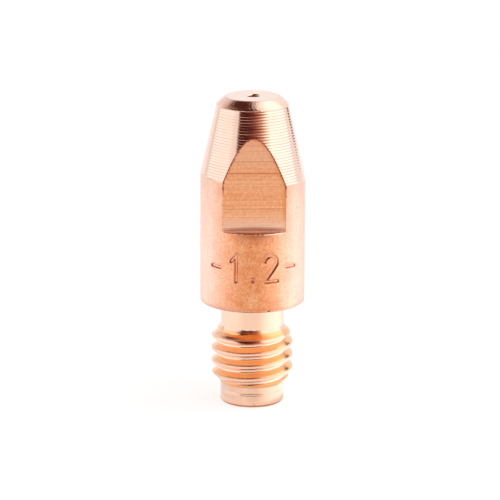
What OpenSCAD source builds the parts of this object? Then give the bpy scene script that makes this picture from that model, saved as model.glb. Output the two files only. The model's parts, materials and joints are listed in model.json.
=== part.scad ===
// Contact tip for a wire welding torch.
// One piece, turned from a copper bar, with a screwed shank, two wrench flats and a wire bore.
// Millimetres, +Z up. The tip stands on its thread end, with the nose at the top.

/* [Body] */
// Diameter of the bar, which the barrel keeps
body_d = 10; // [9:0.1:12]
// Length of the straight barrel, from the shoulder to the foot of the taper
barrel_length = 12.4; // [8:0.1:20]
// Bevel that breaks the sharp edge of the shoulder
shoulder_break = 0.15; // [0.05:0.05:0.5]

/* [Nose] */
// Length of the nose, from the foot of the taper to the face
nose_length = 7.6; // [4:0.1:12]
// Diameter where the taper ends and the nose bevel begins
nose_d = 6.9; // [6:0.1:8]
// Diameter of the flat face at the end of the nose
nose_face_d = 5.1; // [3:0.1:5.8]
// Height of the bevel between the taper and the face
nose_bevel = 0.8; // [0.2:0.1:1.5]
// How far the middle of that bevel is rounded out
nose_crown = 0.05; // [0:0.01:0.1]

/* [Wrench flats] */
// Distance across the two flats
across_flats = 8; // [7:0.1:8.8]
// Length of the flats along the barrel, below the foot of the taper
flat_run = 4.6; // [2:0.1:7]
// Radius that the cutter leaves at the lower end of a flat
flat_corner_r = 0.1; // [0.05:0.05:0.6]

/* [Thread] */
// Nominal diameter of the thread
thread_d = 8; // [7.8:0.05:8.2]
// How far the crests are cut short of that diameter, on each side
crest_trim = 0.075; // [0:0.005:0.1]
// Pitch of the thread
thread_pitch = 1.25; // [1:0.05:1.5]
// Length of the threaded stretch, with its bevelled ends
thread_length = 5.75; // [4:0.05:10]
// Length of the bevel at each end of the thread
thread_bevel = 1; // [0.5:0.05:1.5]
// How far the middle of the upper bevel is hollowed
thread_hollow = 0.1; // [0:0.01:0.12]
// Turn of the thread about the axis, in degrees
thread_phase = 265; // [0:5:360]

/* [Shank] */
// Length of the undercut between the shoulder and the thread
neck_length = 2.3; // [2:0.1:5]
// Length of the plain pilot below the thread
pilot_length = 1.95; // [1:0.05:4]
// How far the neck and the pilot lie below the thread root
root_relief = 0.195; // [0.05:0.005:0.3]
// Bevel at the end of the pilot
pilot_bevel = 0.2; // [0.1:0.05:0.6]

/* [Wire bore] */
// Diameter of the bore, which guides a wire of about 1 mm
bore_d = 1.2; // [0.9:0.05:2]
// Diameter of the countersink where the wire enters
inlet_d = 3; // [2.4:0.1:4]
// Full angle of that countersink, in degrees
inlet_angle = 60; // [45:5:90]

/* [Hidden] */
$fn = 96;

// Heights, from the thread end upwards
thread_z = pilot_length;
neck_z = thread_z + thread_length;
shoulder_z = neck_z + neck_length;
taper_z = shoulder_z + barrel_length;
tip_z = taper_z + nose_length;
flat_z = taper_z - flat_run;

// Metric thread form, with a 60 degree groove
thread_flank = 30;
thread_depth = 0.6134 * thread_pitch;
root_half_w = thread_pitch / 12;
root_r = thread_d / 2 - thread_depth;
crest_r = thread_d / 2 - crest_trim;
relief_r = root_r - root_relief;

// Cuts run this far past the surface that they open
overcut = 1;

copper = [0.85, 0.52, 0.38];

// Points from a to b along a shallow curve, whose middle lies so far to the right of the way
function crowned(a, b, rise, steps = 6) =
    let (way = b - a, right = [way[1], -way[0]] / norm(way))
        [for (i = [0:steps])
            let (t = i / steps)
                a + t * way + 4 * t * (1 - t) * rise * right];

// The bar as it leaves the lathe, before it is drilled, threaded and milled
module turned_blank() {
    crest_top = [crest_r, neck_z - thread_bevel];
    neck_foot = [relief_r, neck_z];
    bevel_foot = [nose_d / 2, tip_z - nose_bevel];
    bevel_top = [nose_face_d / 2, tip_z];
    rotate_extrude()
        polygon([
            [0, 0],
            [relief_r - pilot_bevel, 0],
            [relief_r, pilot_bevel],
            [relief_r, thread_z],
            [crest_r, thread_z + thread_bevel],
            each crowned(crest_top, neck_foot, -thread_hollow),
            [relief_r, shoulder_z],
            [body_d / 2 - shoulder_break, shoulder_z],
            [body_d / 2, shoulder_z + shoulder_break],
            [body_d / 2, taper_z],
            each crowned(bevel_foot, bevel_top, nose_crown),
            [0, tip_z],
        ]);
}

// The space of the thread: a trapezoid swept along a right-hand helix that enters
// and leaves the metal over the relieved diameters on either side
module thread_groove() {
    steps_per_turn = 36;
    crest_overcut = 0.05 * thread_pitch;
    lead = 0.62 * thread_pitch;
    outer_r = crest_r + crest_overcut;
    outer_half_w = root_half_w + (outer_r - root_r) * tan(thread_flank);
    section = [
        [root_r, -root_half_w],
        [outer_r, -outer_half_w],
        [outer_r, outer_half_w],
        [root_r, root_half_w],
    ];
    corners = len(section);
    steps = ceil((thread_length + 2 * lead) / thread_pitch * steps_per_turn);
    points = [
        for (i = [0:steps])
            let (turn = thread_phase + 360 * i / steps_per_turn,
                 rise = thread_z - lead + thread_pitch * i / steps_per_turn)
                for (p = section)
                    [p[0] * cos(turn), p[0] * sin(turn), rise + p[1]]
    ];
    start_cap = [for (k = [corners - 1:-1:0]) k];
    end_cap = [for (k = [0:corners - 1]) steps * corners + k];
    sides = [
        for (i = [0:steps - 1], k = [0:corners - 1])
            let (a = i * corners + k,
                 b = i * corners + (k + 1) % corners,
                 c = a + corners,
                 d = b + corners)
                each [[a, b, d], [a, d, c]]
    ];
    polyhedron(points, concat([start_cap], sides, [end_cap]), convexity = 10);
}

// What the milling cutter takes off one side: all beyond the flat, from its lower end up
module flat_cut() {
    seat = [across_flats / 2, flat_z];
    depth = body_d / 2 - seat[0] + overcut;
    height = tip_z - seat[1] + overcut;
    rotate([90, 0, -90])
        linear_extrude(height = body_d + 2 * overcut, center = true)
            translate(seat) {
                translate([flat_corner_r, 0])
                    square([depth, height]);
                translate([0, flat_corner_r])
                    square([depth, height - flat_corner_r]);
                translate([flat_corner_r, flat_corner_r])
                    circle(r = flat_corner_r);
            }
}

// The wire bore, with the countersink that leads the wire in from below
module wire_way() {
    inlet_depth = (inlet_d - bore_d) / 2 / tan(inlet_angle / 2);
    inlet_flare = 2 * overcut * tan(inlet_angle / 2);
    translate([0, 0, -overcut]) {
        cylinder(d = bore_d, h = tip_z + 2 * overcut);
        cylinder(d1 = inlet_d + inlet_flare, d2 = bore_d, h = inlet_depth + overcut);
    }
}

module contact_tip() {
    color(copper)
        difference() {
            turned_blank();
            thread_groove();
            for (side = [0, 180])
                rotate([0, 0, side])
                    flat_cut();
            wire_way();
        }
}

contact_tip();
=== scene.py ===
import json
import math

import bmesh
import bpy
from mathutils import Matrix, Vector, noise


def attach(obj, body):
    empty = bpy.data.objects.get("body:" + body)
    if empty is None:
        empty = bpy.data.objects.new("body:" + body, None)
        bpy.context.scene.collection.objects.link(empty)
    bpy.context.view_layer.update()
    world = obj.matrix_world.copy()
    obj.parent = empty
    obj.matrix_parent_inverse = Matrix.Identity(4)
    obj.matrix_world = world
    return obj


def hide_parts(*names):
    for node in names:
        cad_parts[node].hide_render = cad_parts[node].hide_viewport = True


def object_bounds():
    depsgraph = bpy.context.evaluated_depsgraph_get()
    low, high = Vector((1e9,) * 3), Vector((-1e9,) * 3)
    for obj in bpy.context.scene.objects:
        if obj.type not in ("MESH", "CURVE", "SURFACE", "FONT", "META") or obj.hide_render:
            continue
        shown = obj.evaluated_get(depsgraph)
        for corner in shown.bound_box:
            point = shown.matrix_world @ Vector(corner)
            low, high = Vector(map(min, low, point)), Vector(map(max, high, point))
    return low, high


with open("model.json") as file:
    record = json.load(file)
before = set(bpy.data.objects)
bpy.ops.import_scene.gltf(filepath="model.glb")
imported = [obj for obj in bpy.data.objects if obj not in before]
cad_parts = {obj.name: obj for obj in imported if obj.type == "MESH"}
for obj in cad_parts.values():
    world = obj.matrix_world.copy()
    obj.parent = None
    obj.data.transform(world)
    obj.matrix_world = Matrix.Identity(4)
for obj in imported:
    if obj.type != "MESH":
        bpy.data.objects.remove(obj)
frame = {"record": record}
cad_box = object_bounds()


# The pilot
# The plain end of the shank, which leads the tip into the torch. The whole tip is one bar of soft
# copper, and this end of it is turned bright, with the fine lines of the tool round it.
MM = 0.001
mounts = {mount["name"]: mount for mount in frame["record"]["mounts"]}
relief_r = mounts["pilot"]["dims"]["r_mm"]
thread_length = mounts["thread"]["dims"]["length_mm"]
thread_z = mounts["thread"]["pos_m"][2] / MM - thread_length / 2
inlet_r = 1.5
pilot_bevel = 0.2
bevel_ease = 0.05
pilot_feed = 0.18
pilot_mark = 0.018
faint_mark = pilot_mark / 5
pilot_lines = (0.9, 1.26)
uneven_cut = 0.35
hollow_step = 1.7
rows_per_line = 6
columns = 144
seam_angle = math.pi / 2
oil_facing = (0.05, 0.42)
tool_line_grain = (70, 9000, 9000)
tone_grain = (500, 500, 350)
tip = bmesh.new()
painted_reflection, painted_mark_shade, ledge_shade_and_orange_edge, rim_gap, rolled_edge_and_cut_shade, pale_tint_and_highlight = [tip.verts.layers.float.new(name) for name in (
    "painted_reflection", "painted_mark_shade", "ledge_shade_and_orange_edge", "rim_gap", "rolled_edge_and_cut_shade", "pale_tint_and_highlight")]
finishes = []


def ring(height, radius):
    """Points round the bore axis. The radius may be a function of the angle."""
    points = []
    for column in range(columns):
        angle = seam_angle + 2 * math.pi * column / columns
        reach = radius(angle) if callable(radius) else radius
        points.append(tip.verts.new((reach * math.cos(angle), reach * math.sin(angle), height)))
    return points + points[:1]


def skin(lower, upper, finish):
    """Faces between two rings, which may share points where one runs into the other."""
    for column in range(columns):
        corners = []
        for point in (lower[column], lower[column + 1], upper[column + 1], upper[column]):
            if point not in corners:
                corners.append(point)
        if len(corners) > 2:
            tip.faces.new(corners).material_index = finish


def turn(start, outline, finish):
    """Carries the skin on from a ring through an outline of (radius, height) points."""
    for radius, height in outline:
        following = ring(height, radius)
        skin(start, following, finish)
        start = following
    return start


def broken(before, corner, after, width, steps=3):
    """An outline's corner with its sharp edge taken off over a small width."""
    corner = Vector(corner)
    start = corner + (Vector(before) - corner).normalized() * width
    end = corner + (Vector(after) - corner).normalized() * width
    shares = [i / steps for i in range(steps + 1)]
    return [tuple(start.lerp(corner, t).lerp(corner.lerp(end, t), t)) for t in shares]


def scallop(height, feed, depth):
    """How far a round-nosed tool has cut at a height, with one uneven hollow for each feed."""
    hollow, share = divmod(height / feed, 1)
    uneven = 1 + uneven_cut * noise.noise(Vector((hollow * hollow_step, feed, 0)))
    return depth * uneven * (1 - (2 * share - 1) ** 2)


def add_node(material, kind, **inputs):
    """A shader node whose inputs are set to values or linked to other nodes' outputs."""
    made = material.node_tree.nodes.new("ShaderNode" + kind)
    for name, value in inputs.items():
        socket = made.inputs[name.replace("_", " ")]
        if isinstance(value, bpy.types.NodeSocket):
            material.node_tree.links.new(value, socket)
        else:
            socket.default_value = value
    return made


def ramp(material, factor, *stops):
    """A colour ramp with (place, colour) stops."""
    made = add_node(material, "ValToRGB", Fac=factor)
    while len(made.color_ramp.elements) < len(stops):
        made.color_ramp.elements.new(0.5)
    for element, (place, colour) in zip(made.color_ramp.elements, stops):
        element.position = place
        element.color = (*colour, 1)
    return made.outputs["Color"]


def grain(material, periods, detail=3, place=None):
    """Noise with so many periods a metre along X, Y and Z of the piece, or of another place."""
    place = place or add_node(material, "TexCoord").outputs["Object"]
    stretched = add_node(material, "Mapping", Vector=place, Scale=periods)
    return add_node(material, "TexNoise", Vector=stretched.outputs["Vector"],
                    Scale=1, Detail=detail, Roughness=0.6).outputs["Fac"]


def between(material, factor, low, high):
    """A value from low to high, as a factor goes from 0 to 1."""
    return add_node(material, "MapRange", Value=factor, To_Min=low, To_Max=high).outputs["Result"]


def metal(name, **settings):
    """A new copper finish, with its number on the tip and its shader."""
    material = bpy.data.materials.new(name)
    material.use_nodes = True
    finishes.append(material)
    shader = material.node_tree.nodes["Principled BSDF"]
    shader.inputs["Metallic"].default_value = 1
    for setting, value in settings.items():
        shader.inputs[setting.replace("_", " ")].default_value = value
    return material, len(finishes) - 1, shader


def connect(material, output, shader, name):
    """Links an output to one of the shader's inputs."""
    material.node_tree.links.new(output, shader.inputs[name])


def raised(material, height, shader, depth):
    """Bump of a depth in millimetres."""
    bump = add_node(material, "Bump", Height=height, Strength=1, Distance=depth * MM)
    connect(material, bump.outputs["Normal"], shader, "Normal")


def attribute(material, name):
    """A value that the points of the mesh carry."""
    made = add_node(material, "Attribute")
    made.attribute_name = name
    return made.outputs["Fac"]


def tinted(material, factor, colour, tint):
    """A colour that turns to a tint where the factor is 1."""
    return add_node(material, "MixRGB", Fac=factor, Color1=colour, Color2=(*tint, 1)).outputs["Color"]


def oiled(material, shader, film):
    """The gloss of a thin film, which shows where the surface is seen at a glancing angle."""
    facing = add_node(material, "LayerWeight", Blend=0.5).outputs["Facing"]
    gloss = add_node(material, "MapRange", Value=facing, From_Min=oil_facing[0], From_Max=oil_facing[1],
                     To_Min=0, To_Max=film)
    connect(material, gloss.outputs["Result"], shader, "Coat Weight")


def bright_copper(name, light, deep, smooth, dull, mark, lay_blur, pitted=0, film=0.5, painted_reflection_tone=None):
    """Freshly turned copper: two tones, fine tool lines that blur it along the axis, and pits.

    Smooth and dull are the ends of its roughness, and mark is the depth of the lines. A thread also
    has an orange tint of painted reflection in its grooves and on its bevels, rougher rolled edges
    and a paler band at the root of each groove.
    """
    material, number, shader = metal(name, Anisotropic=lay_blur, Anisotropic_Rotation=0.25,
                                     Coat_Roughness=0.2, Coat_IOR=3)
    oiled(material, shader, film)
    place = add_node(material, "TexCoord").outputs["Object"]
    axes = add_node(material, "SeparateXYZ", Vector=place).outputs
    level = add_node(material, "CombineXYZ", X=axes["X"], Y=axes["Y"]).outputs["Vector"]
    reach = add_node(material, "VectorMath", Vector=level)
    reach.operation = "LENGTH"
    turned = add_node(material, "CombineXYZ", X=axes["X"], Y=reach.outputs["Value"], Z=axes["Z"])
    lines = grain(material, tool_line_grain, 3, turned.outputs["Vector"])
    cloud = grain(material, tone_grain)
    tone = ramp(material, cloud, (0.3, light), (0.72, deep))
    # In a thread's grooves and on its bevels the tone turns to an orange tint of painted reflection.
    if painted_reflection_tone:
        tone = tinted(material, attribute(material, "painted_reflection"), tone, painted_reflection_tone)
        tone = tinted(material, attribute(material, "pale_tint_and_highlight"), tone, pale_root_tone)
    connect(material, tone, shader, "Base Color")
    blur = between(material, lines, smooth, dull)
    if painted_reflection_tone:
        rolled = add_node(material, "Mix", Factor=attribute(material, "rolled_edge_and_cut_shade"), A=blur, B=rolled_blur)
        blur = rolled.outputs["Result"]
    connect(material, blur, shader, "Roughness")
    if pitted:
        pits = grain(material, pit_grain, 2)
        lines = add_node(material, "Mix", Factor=pitted, A=lines, B=pits).outputs["Result"]
    raised(material, lines, shader, mark)
    lay = add_node(material, "Tangent")
    lay.direction_type = "RADIAL"
    lay.axis = "Z"
    connect(material, lay.outputs["Tangent"], shader, "Tangent")
    return number


pilot_finish = bright_copper("turned_pilot", light=(0.96, 0.62, 0.45), deep=(0.93, 0.54, 0.37),
                             smooth=0.1, dull=0.22, mark=0.004, lay_blur=0.3)
# The foot is darker copper: painted shade where it stands on the table.
foot_finish = bright_copper("foot_painted_shade", light=(0.86, 0.43, 0.27), deep=(0.66, 0.28, 0.16),
                            smooth=0.24, dull=0.4, mark=0.012, lay_blur=0.2)
foot_edge = (relief_r - pilot_bevel, 0)
pilot_edge = (relief_r, pilot_bevel)
foot_outline = [((inlet_r + relief_r) / 2, 0)]
foot_outline += broken((0, 0), foot_edge, pilot_edge, bevel_ease)
foot_outline += broken(foot_edge, pilot_edge, (relief_r, thread_z), bevel_ease)
pilot_outline = []
line_rows = math.floor((thread_z - pilot_bevel - 2 * bevel_ease) / pilot_feed * rows_per_line)
for row in range(1, line_rows):
    height = row * pilot_feed / rows_per_line
    mark = pilot_mark if pilot_lines[0] < height < pilot_lines[1] else faint_mark
    reach = relief_r - scallop(height, pilot_feed, mark)
    pilot_outline.append((reach, pilot_bevel + bevel_ease + height))
inlet_rim = ring(0, inlet_r)
pilot_foot = turn(inlet_rim, foot_outline, foot_finish)
thread_foot = turn(pilot_foot, pilot_outline + [(relief_r, thread_z)], pilot_finish)


# The thread
# M8 with a pitch of 1.25 mm, cut on the lathe as one right-hand helix with a bevel at each end. It
# runs out into the pilot below and the neck above. An orange tint in its grooves and on its bevels
# is painted reflection.
crest_r = mounts["thread"]["dims"]["r_mm"]
neck_z = thread_z + thread_length
nominal_r = 4
pitch = 1.25
thread_bevel = 1.0
bevel_hollow = 0.068
groove_depth = 0.6134 * pitch
root_r = nominal_r - groove_depth
root_half = pitch / 12
flank_angle = math.radians(30)
flank_slope = 1 / math.tan(flank_angle)
edge_ease = 0.03
crest_ease = 0.025
root_ease = 0.3
bevel_round = 0.15
run_out = 0.2
run_out_share = 0.5
groove_angle = math.radians(265)
groove_lead = 0.62
groove_z = thread_z - pitch * (groove_lead + (groove_angle - seam_angle) / (2 * math.pi))
rows_per_turn = 26
# Bands in each turn and on the bevels: the orange tint of painted reflection, and the rolled edges.
reflection_in_groove = (0.01, 0.09, 0.38, 0.58)
rolled_edge = (0.45, 0.49, 0.53, 0.57)
foot_bevel_band = (-0.1, 0, 0.32, 0.45)
reflection_at_head = (0.22, 0.32, 0.68, 0.84)
# A paler band at the root of each groove, where it starts, and its tone.
pale_root_band = (-0.18, -0.12, 0, 0.05)
pale_root_from = 0.5
pale_root_tone = (0.97, 0.75, 0.62)
rolled_blur = 0.5
pit_grain = (6000, 6000, 6000)
# Its grooves and bevels take an orange tint of painted reflection.
thread_finish = bright_copper("cut_thread", light=(0.965, 0.62, 0.45), deep=(0.94, 0.54, 0.37),
                              smooth=0.1, dull=0.2, mark=0.004, lay_blur=0.4, pitted=0.2, film=0.6,
                              painted_reflection_tone=(0.98, 0.47, 0.16))
thread_head = ring(neck_z, relief_r)
thread_points = {}


def soft_min(a, b, ease):
    """The lesser of two values, with a rounded change from one to the other."""
    return (a + b - math.hypot(a - b, ease)) / 2


def plateau(value, start, full, falling, end):
    """0 outside start and end, and 1 from full to falling."""
    return max(0, min(1, (value - start) / (full - start), (end - value) / (end - falling)))


def thread_reach(height, from_groove):
    """Radius of the thread: root, flank and crest, under the bevels of its two ends."""
    flank = root_r + (abs(from_groove) - root_half) * flank_slope
    upper_side = max(0, -math.sin(2 * math.pi * from_groove / pitch))
    groove = -soft_min(-root_r, -flank, edge_ease + root_ease * upper_side)
    lower, upper = (height - thread_z) / thread_bevel, (neck_z - height) / thread_bevel
    groove += run_out * max(0, 1 - upper / run_out_share)
    reach = soft_min(crest_r, groove, edge_ease + crest_ease * upper_side)
    rise = crest_r - relief_r
    hollow = 4 * bevel_hollow * max(0, upper * (1 - upper))
    lower_bevel, upper_bevel = relief_r + lower * rise, relief_r + upper * rise - hollow
    reach = soft_min(reach, lower_bevel, edge_ease)
    return soft_min(reach, soft_min(crest_r, upper_bevel, bevel_round), edge_ease)


def thread_point(row, column):
    """A point on the helix, or on the plain ring that the thread runs out into."""
    height = groove_z + pitch * (row / rows_per_turn + column / columns)
    if height <= thread_z:
        return thread_foot[column]
    if height >= neck_z:
        return thread_head[column]
    key = (row + rows_per_turn * (column // columns), column % columns)
    if key not in thread_points:
        angle = seam_angle + 2 * math.pi * column / columns
        in_turn = row / rows_per_turn + 0.5
        from_groove = (in_turn - math.floor(in_turn) - 0.5) * pitch
        reach = thread_reach(height, from_groove)
        point = tip.verts.new((reach * math.cos(angle), reach * math.sin(angle), height))
        up_bevel, down_bevel = (height - thread_z) / thread_bevel, (neck_z - height) / thread_bevel
        # The orange tint of painted reflection in the grooves and on the bevels, and the rolled edges.
        point[painted_reflection] = max(plateau(-from_groove, *reflection_in_groove), plateau(up_bevel, *foot_bevel_band))
        point[rolled_edge_and_cut_shade] = max(plateau(-from_groove, *rolled_edge), plateau(up_bevel, *foot_bevel_band))
        if down_bevel < 1:
            point[painted_reflection] = plateau(down_bevel, *reflection_at_head)
        # Above the middle of the foot's bevel, a paler band at the root of each groove.
        elif up_bevel > pale_root_from:
            point[pale_tint_and_highlight] = plateau(-from_groove, *pale_root_band)
        thread_points[key] = point
    return thread_points[key]


first_row = math.floor(rows_per_turn * ((thread_z - groove_z) / pitch - 1))
last_row = math.ceil(rows_per_turn * (neck_z - groove_z) / pitch)
for row in range(first_row, last_row):
    lower = [thread_point(row, column) for column in range(columns + 1)]
    upper = [thread_point(row + 1, column) for column in range(columns + 1)]
    skin(lower, upper, thread_finish)


# The barrel
# The neck is turned down from the bar. Above it the bar keeps its drawn skin: satin, finely
# mottled, and paler where the light grazes it. The shoulder's edge is broken. It and the skin
# under each flat's ledge are darkened with painted shade.
bar_r = cad_box[1].x / MM
shoulder_z = mounts["shoulder"]["pos_m"][2] / MM
neck_corner = 0.08
shoulder_break = 0.15
shoulder_ease = 0.06
# The painted shade on the shoulder's broken edge.
edge_shade = 0.95
faint_edge_shade = 0.25
touch = 1e-4
barrel_step = 0.2
ledge_z = 17.69
ledge_gap = 0.004
burr_depths = (0.14, 0.08, 0.04, 0)
bar_specks = (6500, 6500, 4600)
bar_clouds = (620, 620, 420)
cloud_share = 0.38
bar_tones = ((0.38, (0.77, 0.25, 0.09)), (0.5, (0.875, 0.35, 0.155)), (0.62, (0.95, 0.48, 0.25)))
# The painted shade under the flats' ledges, and how the specks break it up.
ledge_shade_tone = (0.44, 0.11, 0.045)
ledge_shade_spread = (0.5, 1.4)
# The tone of the painted shade on the shoulder's edge, the stamped strokes and the knocks.
mark_shade_tone = (0.45, 0.085, 0.03)
bar_blur = (0.26, 0.42)
speck_height = 0.004


def drawn_copper():
    """The satin skin of the bar, with painted shade under the flats' ledges, on the shoulder's edge, in
    the stamped strokes and on the knocks.
    """
    material, number, shader = metal("drawn_barrel", Coat_Roughness=0.3, Coat_IOR=4)
    oiled(material, shader, between(material, attribute(material, "painted_mark_shade"), 1, 0))
    specks = grain(material, bar_specks, 2)
    clouds = grain(material, bar_clouds, 2)
    mottle = add_node(material, "Mix", Factor=cloud_share, A=specks, B=clouds).outputs["Result"]
    tone = ramp(material, mottle, *bar_tones)
    # Painted shade under the flats' ledges, broken up by the specks.
    spotted = add_node(material, "Math")
    spotted.operation = "MULTIPLY"
    material.node_tree.links.new(attribute(material, "ledge_shade_and_orange_edge"), spotted.inputs[0])
    material.node_tree.links.new(between(material, specks, *ledge_shade_spread), spotted.inputs[1])
    tone = tinted(material, spotted.outputs["Value"], tone, ledge_shade_tone)
    # Painted shade on the shoulder's edge, on the walls of the stamped strokes and on the knocks.
    tone = tinted(material, attribute(material, "painted_mark_shade"), tone, mark_shade_tone)
    connect(material, tone, shader, "Base Color")
    connect(material, between(material, clouds, *bar_blur), shader, "Roughness")
    raised(material, specks, shader, speck_height)
    return number


barrel_finish = drawn_copper()
neck_outline = [(relief_r, neck_z + neck_corner), (relief_r, shoulder_z - neck_corner)]
neck_outline += broken((relief_r, neck_z), (relief_r, shoulder_z), (bar_r, shoulder_z), neck_corner)
neck_finish = bright_copper("turned_neck", light=(0.97, 0.65, 0.48), deep=(0.96, 0.60, 0.42),
                            smooth=0.16, dull=0.26, mark=0.004, lay_blur=0.6)
neck_top = turn(thread_head, neck_outline, neck_finish)
break_foot = (bar_r - shoulder_break, shoulder_z)
break_head = (bar_r, shoulder_z + shoulder_break)
shoulder_edge = broken((0, shoulder_z), break_foot, break_head, shoulder_ease)
shoulder_edge += broken(break_foot, break_head, (bar_r, ledge_z), shoulder_ease)
shoulder = turn(neck_top, [((relief_r + bar_r) / 2, shoulder_z)] + shoulder_edge, barrel_finish)
# The shoulder's broken edge is darkened with painted shade, most on its lower half.
for point in tip.verts:
    above = point.co.z - shoulder_z
    if above > touch:
        point[painted_mark_shade] = edge_shade if above < shoulder_break / 2 else faint_edge_shade
barrel_rows = math.floor((ledge_z - shoulder_z - 2 * shoulder_break) / barrel_step)
barrel_depths = [barrel_step * row for row in range(barrel_rows, 0, -1)] + list(burr_depths)
barrel_outline = [(bar_r, ledge_z - ledge_gap - depth) for depth in barrel_depths]
barrel_top = turn(shoulder, barrel_outline, barrel_finish)


# The nose
# A slim taper turned with a coarse feed, which leaves a groove for every turn of the bar, then a
# rounded bevel and a faced end. It was cut in a second chucking and runs slightly off centre.
tip_z = cad_box[1].z / MM
taper_z = 22.4
nose_r = 3.45
face_r = 2.55
bevel_height = 0.8
bevel_crown = 0.05
bevel_rows = 9
bevel_z = tip_z - bevel_height
face_ease = 0.1
face_step = 0.2
face_rows = 8
runout = 0.065
feed = 0.26
feed_depth = 0.0185
uncut_depth = feed_depth / 9
rows_per_feed = 6
flat_corner = 0.1
fillet_steps = 5
flat_step = 0.06
nose_finish = bright_copper("turned_nose", light=(0.96, 0.67, 0.55), deep=(0.96, 0.63, 0.49),
                            smooth=0.07, dull=0.18, mark=0.002, lay_blur=0.3)
bevel_finish = bright_copper("bevelled_nose", light=(0.96, 0.66, 0.53), deep=(0.93, 0.56, 0.41),
                             smooth=0.12, dull=0.26, mark=0.03, lay_blur=0.2, pitted=0.85)


def off_centre(radius):
    """A radius about the nose's own axis, seen from the bore axis."""
    return lambda angle: radius - runout * math.cos(angle)


def taper_reach(height):
    """The taper's radius at a height, with the grooves of the feed, as a function of the angle."""
    cone = bar_r - (bar_r - nose_r) * (height - taper_z) / (bevel_z - taper_z)
    cut = cone - scallop(bevel_z - height, feed, feed_depth)
    return lambda angle: min(bar_r, cut - runout * math.cos(angle))


taper_slope = (bar_r - nose_r) / (bevel_z - taper_z)
taper_start = bevel_z - feed * math.ceil((bevel_z - taper_z + 2 * runout / taper_slope) / feed)
fillet = [math.pi / 2 * i / fillet_steps for i in range(fillet_steps + 1)]
flat_heights = [ledge_z + flat_corner * (1 - math.cos(a)) for a in fillet]
while flat_heights[-1] + 1.5 * flat_step < taper_start:
    flat_heights.append(flat_heights[-1] + flat_step)
flat_band = turn(barrel_top, [(bar_r, height) for height in flat_heights], barrel_finish)
taper_rows = round((bevel_z - taper_start) / feed) * rows_per_feed
taper_heights = [taper_start + feed / rows_per_feed * row for row in range(taper_rows)]
taper_top = turn(flat_band, [(taper_reach(height), height) for height in taper_heights], nose_finish)
for face in tip.faces:
    inmost = min(point.co.xy.length for point in face.verts)
    if face.material_index == nose_finish and inmost > bar_r - uncut_depth:
        face.material_index = barrel_finish

way = Vector((face_r - nose_r, bevel_height))
out = Vector((way.y, -way.x)).normalized()
nose_outline = []
for row in range(bevel_rows):
    share = row / bevel_rows
    point = Vector((nose_r, bevel_z)) + way * share + out * bevel_crown * 4 * share * (1 - share)
    nose_outline.append(tuple(point))
nose_outline += broken(nose_outline[-1], (face_r, tip_z), (0, tip_z), face_ease)
bevel_top = turn(taper_top, [(off_centre(r), z) for r, z in nose_outline], bevel_finish)
face_reaches = [face_r - face_ease - face_step * row for row in range(1, face_rows)]
nose_end = turn(bevel_top, [(off_centre(reach), tip_z) for reach in face_reaches], nose_finish)


# The wire bore
# Drilled right through on the bar's axis. The mouth in the nose has a small bright chamfer, and the
# thread end a deep countersink, where the wire is fed in. The drill leaves the bore dull and dark.
bore_r = mounts["wire_bore"]["dims"]["r_mm"]
inlet_half_angle = math.radians(30)
inlet_slope = math.tan(inlet_half_angle)
inlet_ease = 0.05
mouth_chamfer = 0.1
mouth_ease = 0.02
bore_depths = (0.3, 0.8, 2, 5, 10, 16, 22)
rifling_grain = (900, 900, 2600)
bore_tones = ((0.3, (0.86, 0.42, 0.24)), (0.7, (0.66, 0.26, 0.13)))
bore_blur = 0.38
rifling_height = 0.006


def drilled_copper():
    """The dull wall that the drill leaves, with its marks across the axis."""
    material, number, shader = metal("drilled_bore", Roughness=bore_blur)
    rifling = grain(material, rifling_grain)
    connect(material, ramp(material, rifling, *bore_tones), shader, "Base Color")
    raised(material, rifling, shader, rifling_height)
    return number


bore_finish = drilled_copper()
chamfer_top = (bore_r + mouth_chamfer, tip_z)
chamfer_foot = (bore_r, tip_z - mouth_chamfer)
mouth = broken((face_r, tip_z), chamfer_top, chamfer_foot, mouth_ease)
mouth += broken(chamfer_top, chamfer_foot, (bore_r, 0), mouth_ease)
inlet_z = (inlet_r - bore_r) / inlet_slope
bore_side = [(bore_r, tip_z - depth) for depth in bore_depths]
bore_side += [(bore_r, inlet_z), ((bore_r + inlet_r) / 2, inlet_z / 2)]
bore_side.append((inlet_r - inlet_ease, inlet_ease / inlet_slope))
mouth_foot = turn(nose_end, mouth, nose_finish)
bore_foot = turn(mouth_foot, bore_side, bore_finish)
skin(bore_foot, inlet_rim, bore_finish)


# The wrench flats
# Two parallel flats milled across the barrel and the foot of the taper, so that a spanner can hold
# the tip. The cutter leaves lines across them, a small radius at the lower end and a burr, whose
# pale tone is partly painted highlight. The deep lines, the ledge and a rim along the edge are
# darkened with painted shade, and a band just above the ledge is painted highlight.
flat_y = abs(mounts["wrench_flat_front"]["pos_m"][1]) / MM
# Each deep line has its height, its share of the full depth, and its left and right ends.
deep_lines = ((17.9, 1, -3, 3), (18.107, 0.75, -3, 3), (18.36, 0.2, -3, 1.5), (19.97, 0.5, -3, 3),
              (23.41, 0.62, -3, 3), (24.53, 0.5, -2, 2), (26.1, 0.3, -0.6, 1))
line_depth = 0.02
line_half = 0.055
line_fade = 0.6
ripple_depth = 0.004
ripple_grain = (0.05, 9)
ledge_y = flat_y + flat_corner
burr_reach = 0.05
burr_run = (-2.7, -0.95)
burr_bias = 0.35
burr_grain = 2.3
fleck_grain = 3.1
fleck_gap = 0.1
# How far down and how wide the painted shade and the burr reach under the ledge.
under_ledge_height = 1.3
under_ledge_half = 2.2
# A band of painted highlight just above the ledge, rougher too, and how the flat pales towards its
# ends.
highlight_band = (17.69, 17.71, 17.82, 17.89)
highlight_band_blur = 0.7
highlight_band_from = 0.8
low_paling = 0.9
low_paling_top = 19.4
low_paling_run = 1.4
high_paling = 0.3
high_paling_foot = 23.4
high_paling_run = 1.5
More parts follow.
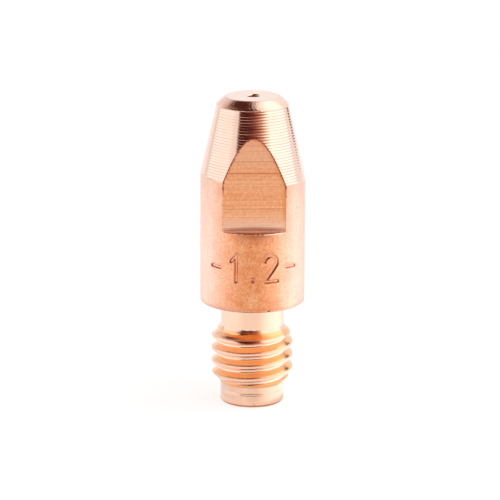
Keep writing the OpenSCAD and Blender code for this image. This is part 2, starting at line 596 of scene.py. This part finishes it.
# The painted shade on the ledge.
ledge_cut_shade = 0.95
orange_edge = 0.55
# Where the rim of painted shade narrows low down, and how ragged and wide it is.
rim_foot = 20.9
rim_fade = 1.2
rim_faint = 0.14
rim_ragged = 0.18
rim_width = (0.14, 0.26)
milling_grain = (90, 90, 9000)
band_grain = (160, 160, 1300)
band_share = 0.25
flat_specks = (4200, 4200, 4200)
speck_share = 0.38
flat_tones = ((0.41, (0.91, 0.37, 0.17)), (0.5, (0.97, 0.47, 0.235)), (0.59, (0.99, 0.56, 0.31)))
orange_tone = (0.90, 0.33, 0.11)
pale_tone = (0.98, 0.64, 0.47)
# The tone of the painted shade in the deep lines and on the ledge.
cut_shade_tone = (0.50, 0.15, 0.06)
# The tone of the rim of painted shade along the flat's edge.
rim_shade_tone = (0.40, 0.10, 0.05)
flat_blur = (0.26, 0.4)
milling_height = 0.006


def milled_copper():
    """The cutter's lines and specks, with orange edges, paler ends and a band of painted highlight, and
    painted shade in the deep lines, on the ledge and along the rim.
    """
    material, number, shader = metal("milled_flats")
    fine = grain(material, milling_grain, 4)
    bands = grain(material, band_grain, 2)
    specks = grain(material, flat_specks, 2)
    lines = add_node(material, "Mix", Factor=band_share, A=fine, B=bands).outputs["Result"]
    lines = add_node(material, "Mix", Factor=speck_share, A=lines, B=specks).outputs["Result"]
    tone = ramp(material, lines, *flat_tones)
    tone = tinted(material, attribute(material, "ledge_shade_and_orange_edge"), tone, orange_tone)
    # Paler towards the flat's ends, with a band of painted highlight just above the ledge.
    tone = tinted(material, attribute(material, "pale_tint_and_highlight"), tone, pale_tone)
    # Painted shade in the deep milling lines and on the ledge.
    tone = tinted(material, attribute(material, "rolled_edge_and_cut_shade"), tone, cut_shade_tone)
    # A ragged rim of painted shade along the flat's edge.
    ragged = add_node(material, "Mix", Factor=rim_ragged, A=attribute(material, "rim_gap"), B=specks)
    rim = add_node(material, "MapRange", Value=ragged.outputs["Result"], From_Min=rim_width[0],
                   From_Max=rim_width[1], To_Min=1, To_Max=0)
    tone = tinted(material, rim.outputs["Result"], tone, rim_shade_tone)
    connect(material, tone, shader, "Base Color")
    banded = add_node(material, "MapRange", Value=attribute(material, "pale_tint_and_highlight"), From_Min=highlight_band_from)
    blur = add_node(material, "Mix", Factor=banded.outputs["Result"],
                    A=between(material, bands, *flat_blur), B=highlight_band_blur)
    connect(material, blur.outputs["Result"], shader, "Roughness")
    raised(material, fine, shader, milling_height)
    return number


flat_finish = milled_copper()


def cut_depth(height):
    """Distance of the cut from the middle plane: the flat, and the radius at its lower end."""
    drop = max(0, ledge_z + flat_corner - height)
    return flat_y + flat_corner - math.sqrt(max(0, flat_corner ** 2 - drop ** 2))


def line_share(place):
    """1 in the middle of a deep milling line, and 0 beside it."""
    shares = []
    for height, depth, left, right in deep_lines:
        along = min(1, (place.x - left) / line_fade + 1, (right - place.x) / line_fade + 1)
        shares.append(depth * max(0, along) * max(0, 1 - abs(place.z - height) / line_half))
    return max(shares)


def paling(place):
    """How much paler a flat is: most just above its lower end, where a band of painted highlight lies,
    and some towards both ends.
    """
    low = low_paling * (low_paling_top - place.z) / low_paling_run
    high = high_paling * min(1, (place.z - high_paling_foot) / high_paling_run)
    return max(plateau(place.z, *highlight_band), low, high)


def edge_distance(place, depth):
    """How far a point of a flat lies from the flat's edge, measured in the flat."""
    cone = taper_reach(place.z)(math.atan2(place.y, place.x))
    lean = cone * taper_slope if place.z > taper_z else 0
    return (cone ** 2 - depth ** 2 - place.x ** 2) / (2 * math.hypot(place.x, lean))


def bright_burr(across):
    """Height of the bright burr under a ledge: a run of it on one side, and specks on the other."""
    if burr_run[0] < across < burr_run[1]:
        return burr_depths[1]
    flecked = noise.noise(Vector((across * fleck_grain, 0, 2))) > fleck_gap
    return burr_depths[2] if flecked and abs(across) < under_ledge_half else 0


# The burr's shape is real. Its tone, paler than the turned copper, is partly painted highlight.
burr_finish = bright_copper("bright_burr", light=(0.98, 0.80, 0.70), deep=(0.96, 0.70, 0.57),
                            smooth=0.12, dull=0.25, mark=0.004, lay_blur=0)
cut_line = [(ledge_y, ledge_z - ledge_gap)]
cut_line += [(cut_depth(height), height) for height in flat_heights[:fillet_steps + 1]]
cut_line.append((flat_y, bevel_z))
for side in (-1, 1):
    for (near, low), (far, high) in zip(cut_line, cut_line[1:]):
        band = [f for f in tip.faces if low < f.calc_center_median().z < high]
        band_edges = {e for f in band for e in f.edges}
        band_points = {v for f in band for v in f.verts}
        cut_across = (0, side * (high - low), near - far)
        bmesh.ops.bisect_plane(tip, geom=[*band, *band_edges, *band_points], dist=touch / 10,
                               plane_co=(0, side * near, low), plane_no=cut_across)
    milled = set()
    for point in tip.verts:
        below = ledge_z - ledge_gap - point.co.z
        depth = cut_depth(max(point.co.z, ledge_z))
        if side * point.co.y < depth - touch or below > under_ledge_height:
            continue
        if below > -touch:
            # Under each ledge the barrel is darkened with painted shade, most in the middle and next to
            # the ledge.
            wide = max(0, 1 - (point.co.x / under_ledge_half) ** 2)
            point[ledge_shade_and_orange_edge] = max(point[ledge_shade_and_orange_edge], wide * (1 - below / under_ledge_height) ** 2)
            ragged = max(0, burr_bias + noise.noise(Vector((point.co.x * burr_grain, side, 0.5))))
            lifted = max(0, 1 - below / burr_depths[0]) * ragged * wide
            point.co.xy *= 1 + burr_reach * lifted / bar_r
        if below < touch:
            milled.add(point)
            # The rim of painted shade follows the distance from the flat's edge, and narrows low down.
            faint = max(0, min(1, (rim_foot + rim_fade - point.co.z) / rim_fade))
            point[rim_gap] = edge_distance(point.co, depth) + faint * rim_faint if below < -touch else 1
            # Paler towards both ends, with a band of painted highlight just above the ledge.
            point[pale_tint_and_highlight] = paling(point.co) if below < -touch else 0
            # The ledge is darkened with painted shade.
            point[rolled_edge_and_cut_shade] = 0 if below < -touch else ledge_cut_shade
            if below < -touch and side * point.co.x < 0:
                point[ledge_shade_and_orange_edge] = max(0, 1 - edge_distance(point.co, depth) / orange_edge)
            if below < -ledge_gap / 2 and side * point.co.y > depth + touch:
                # The deep milling lines are cut in and darkened with painted shade.
                point[rolled_edge_and_cut_shade] = line_share(point.co)
                along, up = ripple_grain
                ripple = noise.noise(Vector((point.co.x * along, side, point.co.z * up)))
                ripple_cut = ripple_depth * (0.5 + 0.5 * ripple)
                point.co.y = side * (depth - ripple_cut - line_depth * point[rolled_edge_and_cut_shade])
    for face in tip.faces:
        middle = face.calc_center_median()
        burr = bright_burr(side * middle.x) if side * middle.y > ledge_y - touch else 0
        if all(point in milled for point in face.verts):
            face.material_index = flat_finish
        elif 0 < ledge_z - ledge_gap - middle.z < burr:
            face.material_index = burr_finish


# The stamped size
# The bore's size in millimetres, struck into the barrel with plain hand punches. Each stroke is a
# groove with steep walls, and the metal that it pushed up stands as a low lip beside it.
stamp_z = 13.05
figure_height = 2.5
stroke_half = 0.13
stroke_depth = 0.11
wall_width = 0.07
lip_height = 0.02
lip_offset = 0.24
lip_width = 0.06
stamp_margin = 0.4
stamp_cuts = 3
blow_uneven = 0.45
blow_grain = (0.7, 0.6)
blow_seed = 3
# The painted shade on the strokes' walls.
wall_shade = 0.85
wall_shade_width = 1.3 * wall_width


def arc(centre, radius, start, end, steps=12):
    """Points along an arc, with its angles in degrees from the right."""
    angles = [math.radians(start + (end - start) * i / steps) for i in range(steps + 1)]
    return [(centre[0] + radius * math.cos(a), centre[1] + radius * math.sin(a)) for a in angles]


figure_1 = [(-0.42, 1.95), (0.08, figure_height), (0.08, 0)]
figure_2 = arc((0, 1.87), 0.63, 170, -25) + [(-0.63, 0), (0.68, 0)]
point_mark = [(0, 0.1), (0.02, 0.1)]
dash_mark = [(-0.55, 1.25), (0.5, 1.2)]
strokes = []
for offset, line in ((-3.95, dash_mark), (-1.85, figure_1), (-0.2, point_mark), (1.6, figure_2),
                     (3.85, dash_mark)):
    for a, b in zip(line, line[1:]):
        strokes.append((Vector((a[0] + offset, a[1])), Vector((b[0] + offset, b[1]))))
stamp_reach = max(abs(p.x) for stroke in strokes for p in stroke) + stamp_margin


def unrolled(place):
    """Where a point of the barrel lies on the stamp: along the barrel's round, and up from its foot."""
    return Vector((bar_r * math.atan2(place.x, -place.y), place.z - stamp_z))


def stroke_distance(spot):
    """How far a spot of the stamp lies from the middle of the nearest stroke."""
    nearest = stamp_reach
    for a, b in strokes:
        along = (spot - a).dot(b - a) / (b - a).length_squared
        nearest = min(nearest, (spot - a.lerp(b, max(0, min(1, along)))).length)
    return nearest


def in_stamp(place):
    """Whether a point of the barrel lies on the stamp or its margin."""
    spot = unrolled(place)
    return abs(spot.x) < stamp_reach and -stamp_margin < spot.y < figure_height + stamp_margin


barrel_faces = [f for f in tip.faces if f.material_index == barrel_finish]
stamp_faces = [f for f in barrel_faces if in_stamp(f.calc_center_median())]
stamp_edges = list({e for f in stamp_faces for e in f.edges})
bmesh.ops.subdivide_edges(tip, edges=stamp_edges, cuts=stamp_cuts, use_grid_fill=True)
for point in tip.verts:
    if point.co.xy.length < bar_r - stroke_half or not in_stamp(point.co):
        continue
    spot = unrolled(point.co)
    gap = stroke_distance(spot)
    place = Vector((spot.x * blow_grain[0], spot.y * blow_grain[1], blow_seed))
    blow = 1 + blow_uneven * noise.noise(place)
    wall = max(0, min(1, (stroke_half + wall_width / 2 - gap) / wall_width))
    pressed = stroke_depth * wall * wall * (3 - 2 * wall)
    lip = lip_height * math.exp(-((gap - lip_offset) / lip_width) ** 2)
    point.co.xy *= (bar_r + blow * (lip - pressed)) / point.co.xy.length
    # The stroke's walls are darkened with painted shade.
    point[painted_mark_shade] = wall_shade * max(0, 1 - abs(gap - stroke_half) / wall_shade_width)


# The finished tip
# One solid piece of copper under a thin film of oil, a little knocked about the edges. It stands on
# its thread end and takes the place of the plain solid that the frame holds.
sharp_angle = math.radians(35)
knock_cuts = 2
# Each knock has its angle from the front, height, size and depth. A depth below 0 makes a lump.
knocks = [(15.8, shoulder_z + 0.08, 0.24, 0.13), (1.6, pilot_bevel, 0.2, 0.07),
          (-36.8, 21.9, 0.13, -0.06), (37.2, 21.95, 0.12, -0.06), (37.3, 21.1, 0.1, -0.05)]
for angle, height, size, depth in knocks:
    turned = Matrix.Rotation(math.radians(angle), 3, "Z")
    reach = bar_r if height > shoulder_z else relief_r
    spot = turned @ Vector((0, -reach, height))
    struck_faces = [f for f in tip.faces if (f.calc_center_median() - spot).length < 2 * size]
    struck_edges = list({e for f in struck_faces for e in f.edges})
    bmesh.ops.subdivide_edges(tip, edges=struck_edges, cuts=knock_cuts, use_grid_fill=True)
    for point in tip.verts:
        near = max(0, 1 - (point.co - spot).length / size)
        point.co.xy *= 1 - depth * near / reach
        # Each knock is darkened with painted shade.
        point[painted_mark_shade] = max(point[painted_mark_shade], min(1, 2 * near))
bmesh.ops.recalc_face_normals(tip, faces=tip.faces[:])
for edge in tip.edges:
    touching = {face.material_index for face in edge.link_faces}
    rim_edge = flat_finish in touching and len(touching) > 1
    edge.smooth = not rim_edge and edge.calc_face_angle(0) < sharp_angle
for face in tip.faces:
    face.smooth = True
tip_data = bpy.data.meshes.new("contact_tip_finished")
tip.to_mesh(tip_data)
tip.free()
tip_data.transform(Matrix.Scale(MM, 4))
for material in finishes:
    tip_data.materials.append(material)
contact_tip = bpy.data.objects.new("contact_tip_finished", tip_data)
bpy.context.scene.collection.objects.link(contact_tip)
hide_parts("contact_tip")
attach(contact_tip, "root")


# The table
# A white table that runs on as the background. It is matt, and glows a little where the camera or
# the bright metal sees it, so that it stays white and still takes the tip's shadow.
scene = bpy.context.scene
table_half = 1.5
table_white = (0.5, 0.5, 0.5, 1)
table_glow = 0.7


def stage_grid(name, rows):
    """A sheet of the studio, through rows of points."""
    wide = len(rows[0])
    corners = [row * wide + column for row in range(len(rows) - 1) for column in range(wide - 1)]
    data = bpy.data.meshes.new(name)
    data.from_pydata([point for row in rows for point in row], [],
                     [(i, i + 1, i + wide + 1, i + wide) for i in corners])
    sheet = bpy.data.objects.new(name, data)
    scene.collection.objects.link(sheet)
    return sheet


def bare(owner):
    """Turns on an owner's nodes and clears them."""
    owner.use_nodes = True
    owner.node_tree.nodes.clear()
    return owner


def seen_or_mirrored(owner):
    """1 for what the camera sees directly, in a reflection or through glass."""
    path = add_node(owner, "LightPath")
    seen = path.outputs["Is Camera Ray"]
    for also in ("Is Glossy Ray", "Is Transmission Ray"):
        either = add_node(owner, "Math")
        either.operation = "MAXIMUM"
        owner.node_tree.links.new(seen, either.inputs[0])
        owner.node_tree.links.new(path.outputs[also], either.inputs[1])
        seen = either.outputs["Value"]
    return seen


table_sides = (-table_half, table_half)
table = stage_grid("table", [[(x, y, 0) for x in table_sides] for y in table_sides])
table_finish = bare(bpy.data.materials.new("white_table"))
matt = add_node(table_finish, "BsdfDiffuse", Color=table_white)
glow = add_node(table_finish, "Emission",
                Strength=between(table_finish, seen_or_mirrored(table_finish), 0, table_glow))
both = add_node(table_finish, "AddShader")
table_finish.node_tree.links.new(matt.outputs["BSDF"], both.inputs[0])
table_finish.node_tree.links.new(glow.outputs["Emission"], both.inputs[1])
add_node(table_finish, "OutputMaterial", Surface=both.outputs["Shader"])
table.data.materials.append(table_finish)


# The studio
# White all round, with a large soft lamp on either side. Dark flags in front, overhead and behind
# the sides draw the dark lines on the bright turned metal, and cards on the table tone its foot.
sky_light = 0.5
flag_distance = 0.6
near_distance = 0.04
flag_dark = (0.07, 0.015, 0.012)
flag_edge = [(0.17, 0.045, 0.03), (0.28, 0.08, 0.06), (0.52, 0.23, 0.14), (0.84, 0.67, 0.48),
             (1, 1, 0.95)]
flag_start = [(0.95, 0.9, 0.88), (0.8, 0.7, 0.66)]
edge_shares = (0.22, 0.38, 0.55, 0.78, 1)
warm_tone = (1, 0.62, 0.52)
warm_sides = (-0.85, 0.8)
warm_lift = 0.002
near_tone = (0.3, 0.13, 0.09)
card_lift = 0.05
shade_lift = 0.02
shade_step = 15
studio = bare(bpy.data.worlds.new("studio"))
sky = add_node(studio, "Background", Color=(1, 1, 1, 1),
               Strength=between(studio, seen_or_mirrored(studio), sky_light, 1))
add_node(studio, "OutputWorld", Surface=sky.outputs["Background"])
scene.world = studio
scene.view_settings.view_transform = "Standard"


def toward(azimuth, elevation, distance):
    """A place seen from the tip: azimuth 0 is the front, and 90 the right."""
    a, e = math.radians(azimuth), math.radians(elevation)
    return Vector((math.sin(a) * math.cos(e), -math.cos(a) * math.cos(e), math.sin(e))) * distance


def soft_lamp(name, azimuth, elevation, distance, size, level):
    """A square lamp that adds a level to the white that is seen in the metal."""
    lamp = bpy.data.lights.new(name, "AREA")
    lamp.size = size
    lamp.energy = 4 * level * size * size
    holder = bpy.data.objects.new(name, lamp)
    holder.location = toward(azimuth, elevation, distance)
    holder.rotation_euler = toward(azimuth, elevation, -1).to_track_quat("-Z", "Y").to_euler()
    holder.visible_camera = False
    scene.collection.objects.link(holder)


soft_lamp("right_softbox", azimuth=75, elevation=40, distance=0.6, size=1.0, level=0.42)
soft_lamp("left_softbox", azimuth=-95, elevation=13, distance=0.6, size=0.8, level=0.19)
flag_finish = bare(bpy.data.materials.new("flag"))
shade = add_node(flag_finish, "Attribute")
shade.attribute_name = "shade"
flag_glow = add_node(flag_finish, "Emission", Color=shade.outputs["Color"])
add_node(flag_finish, "OutputMaterial", Surface=flag_glow.outputs["Emission"])


def flag(name, rows, tones):
    """A sheet that only reflections see. Each column of its points has a tone of its own."""
    sheet = stage_grid(name, rows)
    shades = sheet.data.color_attributes.new("shade", "FLOAT_COLOR", "POINT")
    for number, spot in enumerate(shades.data):
        spot.color = (*tones[number % len(tones)], 1)
    sheet.data.materials.append(flag_finish)
    sheet.visible_camera = False
    sheet.visible_diffuse = False
    sheet.visible_shadow = False
    sheet.visible_transmission = False


def fan(azimuths, elevations, distance):
    """Rows of points at a distance from the tip, one for each elevation."""
    return [[toward(azimuth, elevation, distance) for azimuth in azimuths] for elevation in elevations]


def lifted_row(azimuths, reach, height):
    """A row of points round the tip, at a reach from its axis and a height over the table."""
    return [toward(azimuth, 0, reach) + Vector((0, 0, height)) for azimuth in azimuths]


# Each row of the front flag has its place, the softness of its left edge, its left end, the end of
# its dark middle and its right end.
front_rows = []
for y, z, soft, left, dark_end, right in (
        (-0.22, 0.002, 0.01, -0.21, 0.02, 0.25), (-0.5, 0.002, 0.01, -0.48, 0.045, 0.57),
        (-0.5, 0.36, 0.02, -0.44, -0.22, 0.27), (-0.4, 0.5, 0.06, -0.38, -0.05, 0.36),
        (-0.17, 0.5, 0.1, -0.34, 0.1, 0.16), (-0.1, 0.5, 0.1, -0.36, 0.01, 0.05),
        (0.42, 0.5, 0.1, -0.62, 0, 0.03)):
    graded = [dark_end + (right - dark_end) * share for share in edge_shares]
    front_rows.append([(x, y, z) for x in [left - 3 * soft, left - soft, left, dark_end] + graded])
flag("front_flag", front_rows, [*flag_start, flag_dark, flag_dark, *flag_edge])
rows = [[(x * reach, -reach, warm_lift) for x in warm_sides] for reach in (0.13, 0.22)]
flag("front_warmth", rows, [warm_tone, warm_tone])
flag("left_high", fan((-120, -127, -145, -158), (30, 49), flag_distance),
     [(0.5, 0.3, 0.25), (0.82, 0.66, 0.6), (0.8, 0.62, 0.56), (1, 1, 1)])
rows = [lifted_row((126, 139), near_distance, height * MM) for height in (24, 35)]
flag("right_flag", rows, [near_tone, near_tone])
for name, near, far, low, high, tone in (("left_flag", -142, -168, 16, 50, (0.86, 0.82, 0.84)),
                                         ("left_strip", -122, -133, 0, 35, (0.86, 0.78, 0.76))):
    flag(name, fan((near, far), (low, high), flag_distance), [tone, tone])
for name, near, far, bounces in (
        ("front_bounce", 4.7, 10, ((-22, 0.95), (-10, 0.87), (10, 0.87), (22, 0.95))),
        ("left_far", 140, 450, ((-35, 1), (-60, 0.76), (-115, 0.76), (-140, 1))),
        ("right_far", 140, 450, ((35, 1), (60, 0.78), (115, 0.78), (140, 1))),
        ("left_bounce", 4.7, 9, ((-25, 0.95), (-60, 0.86), (-110, 0.86), (-150, 0.95))),
        ("right_bounce", 4.7, 36, ((15, 1.04), (35, 1.25), (60, 1.45), (100, 1.5), (135, 1.1))),
        ("right_card", 38, 85, ((25, 1.04), (50, 1.55), (100, 1.62), (140, 1.2))),
        ("left_card", 42, 85, ((-25, 1.04), (-50, 1.36), (-100, 1.5), (-150, 1.2)))):
    azimuths = [azimuth for azimuth, level in bounces]
    rows = [lifted_row(azimuths, reach * MM, card_lift * MM) for reach in (near, far)]
    flag(name, rows, [(level, level, level) for azimuth, level in bounces])
contact = ((2.6, (0.4, 0.25, 0.2)), (3.05, (0.66, 0.44, 0.35)), (3.3, (0.9, 0.76, 0.68)),
           (4.4, (1, 1, 1)))
shade_turns = range(0, 360 + shade_step, shade_step)
shade_rings = [lifted_row(shade_turns, reach * MM, shade_lift * MM) for reach, tone in contact]
flag("contact_shade", list(zip(*shade_rings)), [tone for reach, tone in contact])


# The camera
# A long lens, a little above the table and a touch to the left, as the photograph was taken. It is
# aimed just beside the middle of the tip, and turned by the slight lean that the photograph has.
frame_size = 500
focal_pixels = 3254
camera_distance = 311.4 * MM
camera_azimuth, camera_elevation = -2.2, 14.86
camera_lean = math.radians(0.26)
aim_offset = (-2.5, -1.1)
camera_data = bpy.data.cameras.new("camera")
camera_data.sensor_width = 36
camera_data.lens = camera_data.sensor_width * focal_pixels / frame_size
camera_data.clip_start = 0.01
camera_data.clip_end = 20
camera = bpy.data.objects.new("camera", camera_data)
middle = Vector((0, 0, tip_z / 2 * MM))
back = toward(camera_azimuth, camera_elevation, 1)
facing = (-back).to_track_quat("-Z", "Y").to_matrix()
pixel = camera_distance / focal_pixels
aim = middle + facing @ Vector((aim_offset[0] * pixel, aim_offset[1] * pixel, 0))
camera.matrix_world = Matrix.Translation(aim + back * camera_distance) @ (
    facing @ Matrix.Rotation(camera_lean, 3, "Z")).to_4x4()
scene.collection.objects.link(camera)
scene.camera = camera
